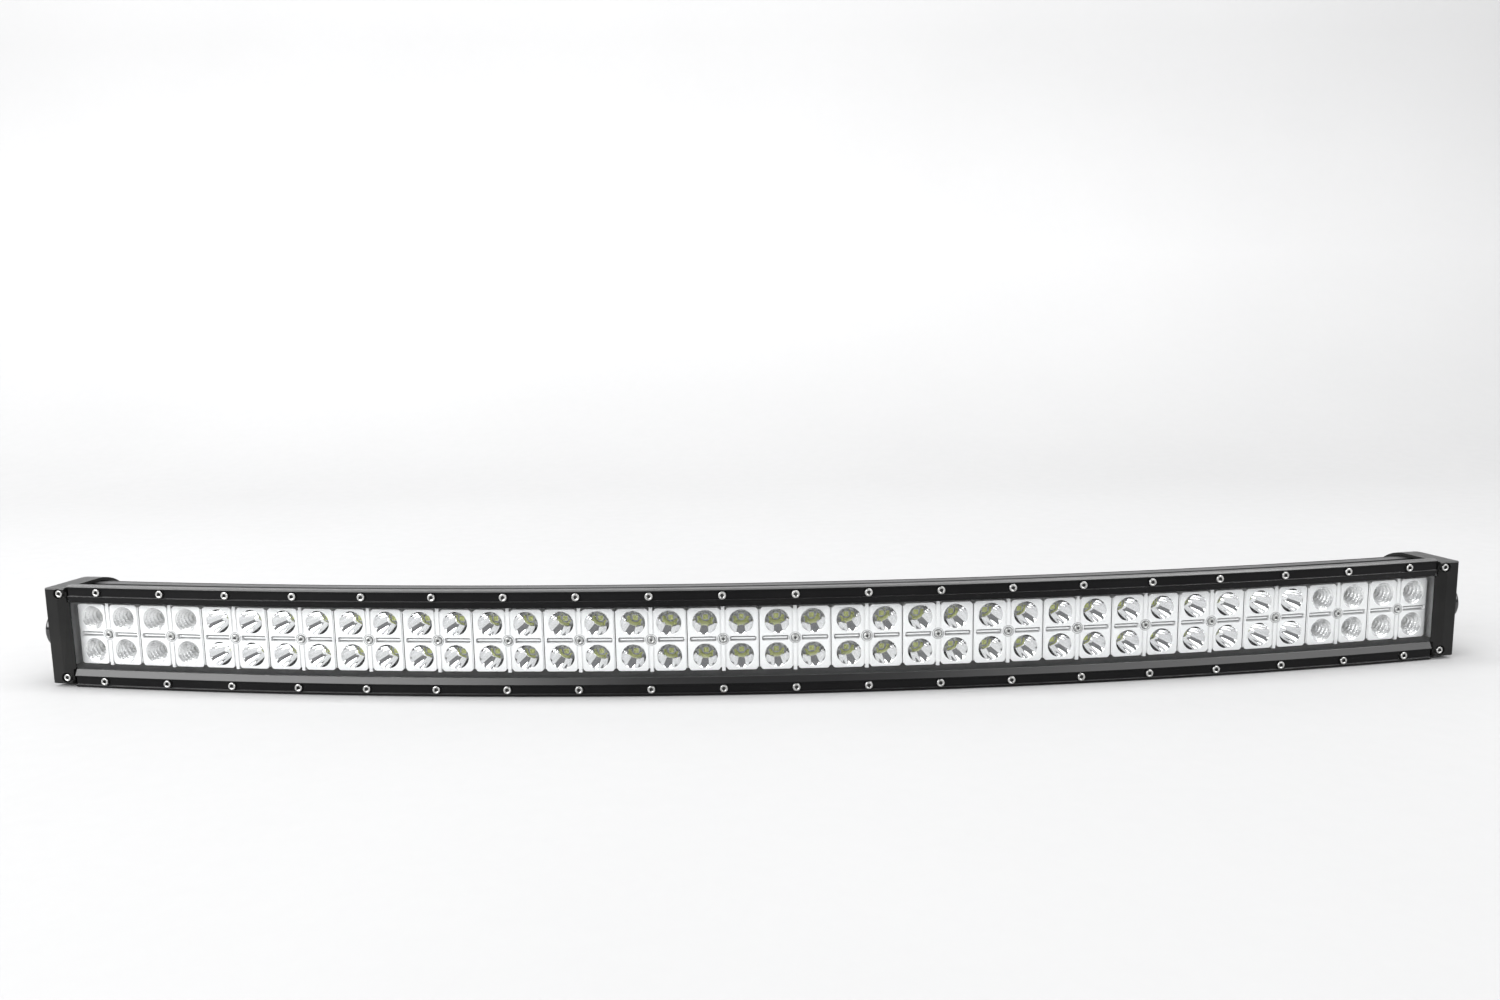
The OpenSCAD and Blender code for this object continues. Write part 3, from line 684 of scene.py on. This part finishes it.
def add_reflectors():
    """Two moulds, spot and flood, set along the arc."""
    body = reflector_body()
    spot = smooth(with_cups(body, spot_rows(), SPOT_SIDES), 34)
    flood = smooth(with_cups(body, flood_rows(), FLOOD_SIDES), 24)
    for index, here in enumerate(CLUSTER_FRAMES, 1):
        is_flood = index <= FLOOD_CLUSTERS or index > CLUSTERS - FLOOD_CLUSTERS
        mesh = (flood if is_flood else spot).copy()
        mesh.transform(here)
        name = f"reflector_{index:02d}"
        mirror = FLOOD_MIRROR if is_flood else SPOT_MIRROR
        add_piece(name + "_finish", mesh, "reflector_bright", "bar", [name],
                  [MATERIALS["reflector_bright"], mirror, RECESS_PAINTED_SHADE])


def add_leds():
    """Each LED: a square ceramic carrier and a round phosphor under a low dome."""
    top, carrier_half, dome_r, dome_height = WEB_FRONT - 2.6 * MM, 1.75 * MM, 1.4 * MM, 0.75 * MM
    build = bmesh.new()
    domes = []
    for here in CLUSTER_FRAMES:
        for x in (-PAD_X, PAD_X):
            for z in (-PAD_Z, PAD_Z):
                square = [Vector((x + px * carrier_half, z + pz * carrier_half))
                          for px, pz in ((-1, -1), (1, -1), (1, 1), (-1, 1))]
                add_prism(build, here, rounded(square, [0.2 * MM] * 4, 2), top + 0.1 * MM, top + 0.9 * MM)
                rows = [(top + 0.15 * MM, dome_r + 0.05 * MM), (top, dome_r)]
                for k in range(1, 6):
                    a = math.pi / 2 * k / 5.6
                    rows.append((top - dome_height * math.sin(a), dome_r * math.cos(a)))
                turned(build, inward(here, x, z), rows, 24)
                domes.append(here @ Vector((x, top - 0.3 * MM, z)))
    mesh = finished_mesh("leds_finish", build, 40)
    mark_near(mesh, domes, dome_r + 0.1 * MM)
    add_piece("leds_finish", mesh, "led_phosphor", "bar", ["leds"], [CERAMIC, MATERIALS["led_phosphor"]])


# ---- ends ----
BOSS_T, WASHER_T = 3 * MM, 1.6 * MM
# thickness, radius and rounded edge of a hub in millimetres
HUB_T, HUB_R, HUB_EDGE = 7.2, 16.0, 2.5
# sizes across flats
BOLT_SOCKET, GLAND_FLATS, NUT_FLATS = 6 * MM, 22 * MM, 20 * MM


def sideways(side):
    """Place function for an axis that runs out along the end's x at the side bolt."""
    here = arc_frame(side * CAP_START)
    return lambda along, across, up: here @ Vector((side * along, HUB_D + across, up))


def add_caps():
    """The caps keep the CAD's shape, with their flat faces joined up and their edges rounded."""
    weld, flat, edge = 0.002 * MM, math.radians(0.6), 0.35 * MM
    for name in ("left_end_cap", "right_end_cap"):
        build = bmesh.new()
        build.from_mesh(frame["nodes"][name].data)
        bmesh.ops.remove_doubles(build, verts=build.verts, dist=weld)
        bmesh.ops.dissolve_limit(build, angle_limit=flat, verts=build.verts, edges=build.edges)
        mesh = worked(finished_mesh(name + "_finish", build), bevel=edge)
        add_piece(name + "_finish", smooth(mesh, 34), "cast_cap_black", "bar", [name])


def add_hubs():
    """At each end: a rubber washer, a round hub and the bolt that runs through both into the cap."""
    base = CAP_LENGTH + BOSS_T
    for side, word in ((-1, "left"), (1, "right")):
        place = sideways(side)
        build = bmesh.new()
        washer = [(0.02, 5), (0.02, 14.9), (0.3, 15.1), (1.3, 15.1), (1.58, 14.9), (1.58, 5)]
        turned(build, place, profile(base, washer), 96, loop=True)
        add_piece(word + "_hub_washer_finish", finished_mesh("washer", build, 40), "black_gasket", "bar",
                  [word + "_hub_washer"])
        build = bmesh.new()
        start = base + WASHER_T
        rows = [(0.02, 4.3), (0.02, HUB_R - 0.3), (0.3, HUB_R)]
        for k in range(9):
            a = math.pi / 2 * k / 8
            along, reach = HUB_EDGE * math.sin(a), HUB_EDGE * math.cos(a)
            rows.append((HUB_T - HUB_EDGE + along, HUB_R - HUB_EDGE + reach))
        rows += [(HUB_T, 8.1), (6.9, 7.6), (2.02, 7.5), (2.02, 4.3)]
        turned(build, place, profile(start, rows), 96, loop=True)
        add_piece(word + "_hub_finish", finished_mesh("hub", build, 40), "hub_gloss_black", word + "_hub",
                  [word + "_hub"])
        build = bmesh.new()
        seat = start + 2.05 * MM
        tip = HOUSING_HALF_S - CAP_START + 2.8 * MM
        socket = hexagon(BOLT_SOCKET)
        shank = profile(tip, [(0, 3.4), (0.7, 4)])
        head = profile(seat, [(0, 4), (0, 6.45), (4.3, 6.5), (4.8, 6.25), (4.95, 5.7), (4.95, 3.9),
                              (4.6, socket), (1.5, socket), (1.2, 1.5)])
        turned(build, place, shank + head, 48)
        add_piece(word + "_bolt_finish", finished_mesh("bolt", build, 34), "bolt_black", word + "_bolt",
                  [word + "_bolt"])


# ---- rear fittings ----
def add_gland():
    """The cable gland: a hexagonal body in the back wall and its ribbed nut."""
    place = inward(arc_frame(GLAND_S))
    build = bmesh.new()
    hex_face = smaller(hexagon(GLAND_FLATS), circle(12.1 * MM))
    hex_rim = smaller(hexagon(GLAND_FLATS), circle(11.5 * MM))
    rows = [(-5, 5.1), (-5, 8), (0.02, 8), (0.02, hex_rim), (0.5, hex_face), (4.5, hex_face),
            (5, hex_rim), (5, 7.5), (12.9, 7.5), (12.9, 5.1)]
    turned(build, place, profile(BACK_SEAT, rows), 48, loop=True)
    add_piece("cable_gland_body_finish", finished_mesh("gland", build, 34), "nylon_black", "bar",
              ["cable_gland_body"])
    build = bmesh.new()
    ribbed = lambda a: 10.15 * MM + 0.3 * MM * abs(math.sin(a * 12))
    nut = smaller(hexagon(NUT_FLATS), ribbed)
    rows = [(5.3, 7.55), (5.3, 9.8), (5.7, nut), (12.2, nut), (13, 9.6), (14, 8.7), (16.6, 8.1),
            (17.6, 7.0), (18, 5.6), (18, 4.8), (17.5, 4.5), (13.2, 4.5), (13.2, 7.55)]
    turned(build, place, profile(BACK_SEAT, rows), 96, loop=True)
    add_piece("cable_gland_nut_finish", finished_mesh("gland_nut", build, 34), "nylon_black", "bar",
              ["cable_gland_nut"])


def add_vent():
    """The pressure vent, whose rim has six slots."""
    build = bmesh.new()
    slotted = lambda a: 8.5 * MM if abs(off_middle(a)) > 0.16 else 7.4 * MM
    rows = [(-5, 6), (0.02, 6), (0.02, 8.3), (0.2, 8.5), (1.6, 8.5), (1.7, slotted), (3.4, slotted),
            (3.5, 8.5), (4.2, 8.45), (4.5, 8.0), (4.5, 4.2), (4.1, 3.9)]
    turned(build, inward(arc_frame(VENT_S)), profile(BACK_SEAT, rows), 96)
    add_piece("breather_vent_finish", finished_mesh("vent", build, 34), "nylon_black", "bar",
              ["breather_vent"])


# ---- stage ----
# name, place, target, width and height, and power of each lamp
LAMPS = [("key_left", (-1.75, -1.4, 1.15), (-0.1, 0, 0.05), (2.1, 1.6), 80),
         ("fill_right", (1.75, -1.4, 1.15), (0.1, 0, 0.05), (2.1, 1.6), 36),
         ("backdrop_wash", (-0.5, 0.3, 2.8), (-0.3, 1.9, 0.7), (6.4, 1.0), 200)]
BACK_AND_UP = (0.0, 0.8, 0.6)


def paper_material():
    """Pale paper with painted light: it is painted a little lighter where the sheet stands up behind the
    object.
    """
    paper = grained("backdrop_paper", (0.405, 0.405, 0.407), (0.42, 0.42, 0.422), (0.7, 0.8), 60, 0.02,
                    0.5 * MM, patch=1.5)
    tree = paper.node_tree
    shader = next(n for n in tree.nodes if n.type == "BSDF_PRINCIPLED")
    colour = shader.inputs["Base Color"].links[0].from_socket
    split = node(tree, "ShaderNodeSeparateXYZ")
    tree.links.new(node(tree, "ShaderNodeTexCoord").outputs["Object"], split.inputs[0])
    # painted light: the colour grows lighter with height up the sheet
    painted_light_gain = ramp(tree, split.outputs["Z"], grey(0.86), grey(1.0), 0.02, 0.4)
    scaled = node(tree, "ShaderNodeVectorMath", operation="MULTIPLY")
    tree.links.new(colour, scaled.inputs[0])
    tree.links.new(painted_light_gain.outputs[0], scaled.inputs[1])
    tree.links.new(scaled.outputs[0], shader.inputs["Base Color"])
    return paper


def add_stage():
    """One pale sheet: a floor that sweeps up into a backdrop."""
    build = bmesh.new()
    half, near, far, bend, top = 6.0, -4.0, 1.9, 0.9, 4.0
    path = [(near, 0.0), (far - bend, 0.0)]
    for k in range(1, 13):
        a = math.pi / 2 * k / 12
        path.append((far - bend + bend * math.sin(a), bend - bend * math.cos(a)))
    path.append((far, top))
    rows = [[build.verts.new((x, y, LOW[2] + z)) for x in (-half, half)] for y, z in path]
    for a, b in zip(rows, rows[1:]):
        build.faces.new((a[0], a[1], b[1], b[0]))
    mesh = finished_mesh("backdrop", build, 60)
    sheet = bpy.data.objects.new("backdrop", mesh)
    bpy.context.scene.collection.objects.link(sheet)
    mesh.materials.append(paper_material())


def add_area(name, place, target, size, power):
    """A rectangular lamp at a place, turned to its target."""
    light = bpy.data.lights.new(name, "AREA")
    light.shape = "RECTANGLE"
    light.size, light.size_y = size
    light.energy = power
    lamp = bpy.data.objects.new(name, light)
    lamp.location = place
    lamp.rotation_euler = (Vector(target) - Vector(place)).to_track_quat("-Z", "Y").to_euler()
    bpy.context.scene.collection.objects.link(lamp)


def add_world():
    """Dim towards the camera's side and bright above and behind, as in a light tent with an open front."""
    world = bpy.data.worlds.new("studio")
    world.use_nodes = True
    tree = world.node_tree
    coords = node(tree, "ShaderNodeTexCoord")
    facing = node(tree, "ShaderNodeVectorMath", operation="DOT_PRODUCT")
    facing.inputs[1].default_value = BACK_AND_UP
    tree.links.new(coords.outputs["Generated"], facing.inputs[0])
    shade = ramp(tree, facing.outputs["Value"], (0.19, 0.19, 0.195), (1, 1, 1), 0.0, 0.4)
    tree.links.new(shade.outputs[0], tree.nodes["Background"].inputs["Color"])
    tree.nodes["Background"].inputs["Strength"].default_value = 1.05
    bpy.context.scene.world = world


def add_lights():
    """A wide lamp to each side, the left one stronger, and one above that lights the backdrop."""
    for lamp in LAMPS:
        add_area(*lamp)
    bpy.context.scene.view_settings.view_transform = "Standard"


random.seed(7)
add_camera()
add_stage()
add_world()
add_lights()
dress_cad_nodes()
add_housing()
add_rails()
add_lens()
add_screws()
add_reflectors()
add_leds()
add_caps()
add_hubs()
add_gland()
add_vent()
